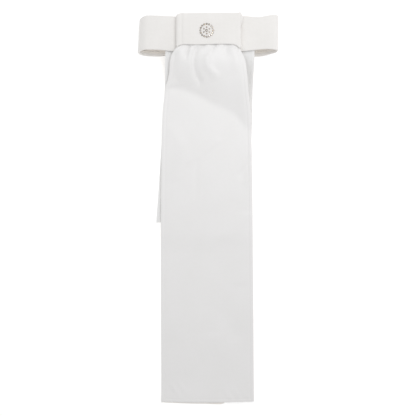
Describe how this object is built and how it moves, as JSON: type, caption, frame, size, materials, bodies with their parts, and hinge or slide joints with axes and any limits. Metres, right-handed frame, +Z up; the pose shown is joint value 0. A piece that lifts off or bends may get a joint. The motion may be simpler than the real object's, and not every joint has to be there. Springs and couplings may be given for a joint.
{
  "type": "ready-tied stock tie",
  "caption": "White ready-tied riding stock with a creased neck band that laps at the nape, a wide flat knot with a crystal rosette, a gathered front tail and a shorter rear tail, laid face up.",
  "frame": {"origin": "middle of the footprint, on the surface that the stock lies on", "axes": "+Z up from the surface, towards the front of the knot; +Y from the tails towards the neck band, up the neck when worn; +X to the right as seen from above, the wearer's left"},
  "size_m": [0.166, 0.457, 0.0324],
  "materials": {
    "band_cloth": "fine pique weave, matt",
    "lining_cloth": "plain weave, matt",
    "interlining": "stiff bonded non-woven",
    "tail_cloth": "fine pique weave with a soft sheen",
    "tail_lining": "plain weave, matt",
    "hook_tape": "woven nylon with moulded hooks",
    "loop_tape": "brushed nylon loops",
    "thread": "spun sewing thread",
    "label": "blank satin ribbon",
    "crystal": "faceted, foil backed"
  },
  "bodies": {
    "throat": {"throat_band_face": "band_cloth", "throat_band_interlining": "interlining", "throat_band_lining": "lining_cloth", "knot_front": "band_cloth", "knot_interlining": "interlining", "knot_back": "lining_cloth", "knot_tack_left": "thread", "knot_tack_right": "thread", "rear_tail_seam": "tail_cloth", "crystal_outer_01": "crystal", "crystal_outer_02": "crystal", "crystal_outer_03": "crystal", "crystal_outer_04": "crystal", "crystal_outer_05": "crystal", "crystal_outer_06": "crystal", "crystal_outer_07": "crystal", "crystal_outer_08": "crystal", "crystal_outer_09": "crystal", "crystal_outer_10": "crystal", "crystal_outer_11": "crystal", "crystal_outer_12": "crystal", "crystal_outer_13": "crystal", "crystal_outer_14": "crystal", "crystal_outer_15": "crystal", "crystal_outer_16": "crystal", "crystal_inner_01": "crystal", "crystal_inner_02": "crystal", "crystal_inner_03": "crystal", "crystal_inner_04": "crystal", "crystal_inner_05": "crystal", "crystal_inner_06": "crystal", "crystal_centre": "crystal"},
    "left_nape": {"left_nape_band_face": "band_cloth", "left_nape_band_interlining": "interlining", "left_nape_band_lining": "lining_cloth", "hook_tape": "hook_tape", "care_label": "label"},
    "right_nape": {"right_nape_band_face": "band_cloth", "right_nape_band_interlining": "interlining", "right_nape_band_lining": "lining_cloth", "loop_tape": "loop_tape"},
    "front_tail_head": {"front_tail_gathers": "tail_cloth"},
    "front_tail": {"front_tail_face": "tail_cloth", "front_tail_back": "tail_lining"},
    "rear_tail": {"rear_tail_face": "tail_cloth", "rear_tail_back": "tail_lining"}
  },
  "joints": [
    {"name": "left_nape_open", "type": "hinge", "parent": "throat", "child": "left_nape", "pos_m": [-0.08315, 0.2055, 0.012], "axis": [0, 1, 0], "range_deg": [0, 178]},
    {"name": "right_nape_open", "type": "hinge", "parent": "throat", "child": "right_nape", "pos_m": [0.08315, 0.2055, 0.012], "axis": [0, -1, 0], "range_deg": [0, 178]},
    {"name": "front_tail_swing", "type": "hinge", "parent": "throat", "child": "front_tail_head", "pos_m": [0.0005, 0.20185, 0.0267], "axis": [0, 0, 1], "range_deg": [-5, 5]},
    {"name": "front_tail_lift", "type": "hinge", "parent": "front_tail_head", "child": "front_tail", "pos_m": [0.0005, 0.19335, 0.02965], "axis": [-1, 0, 0], "range_deg": [0, 170]},
    {"name": "rear_tail_swing", "type": "hinge", "parent": "throat", "child": "rear_tail", "pos_m": [0.0025, 0.1947, 0.01925], "axis": [0, 0, 1], "range_deg": [-8, 8]}
  ],
  "couplings": [
    {"joint": "right_nape_open", "follows": "left_nape_open", "ratio": 1}
  ]
}
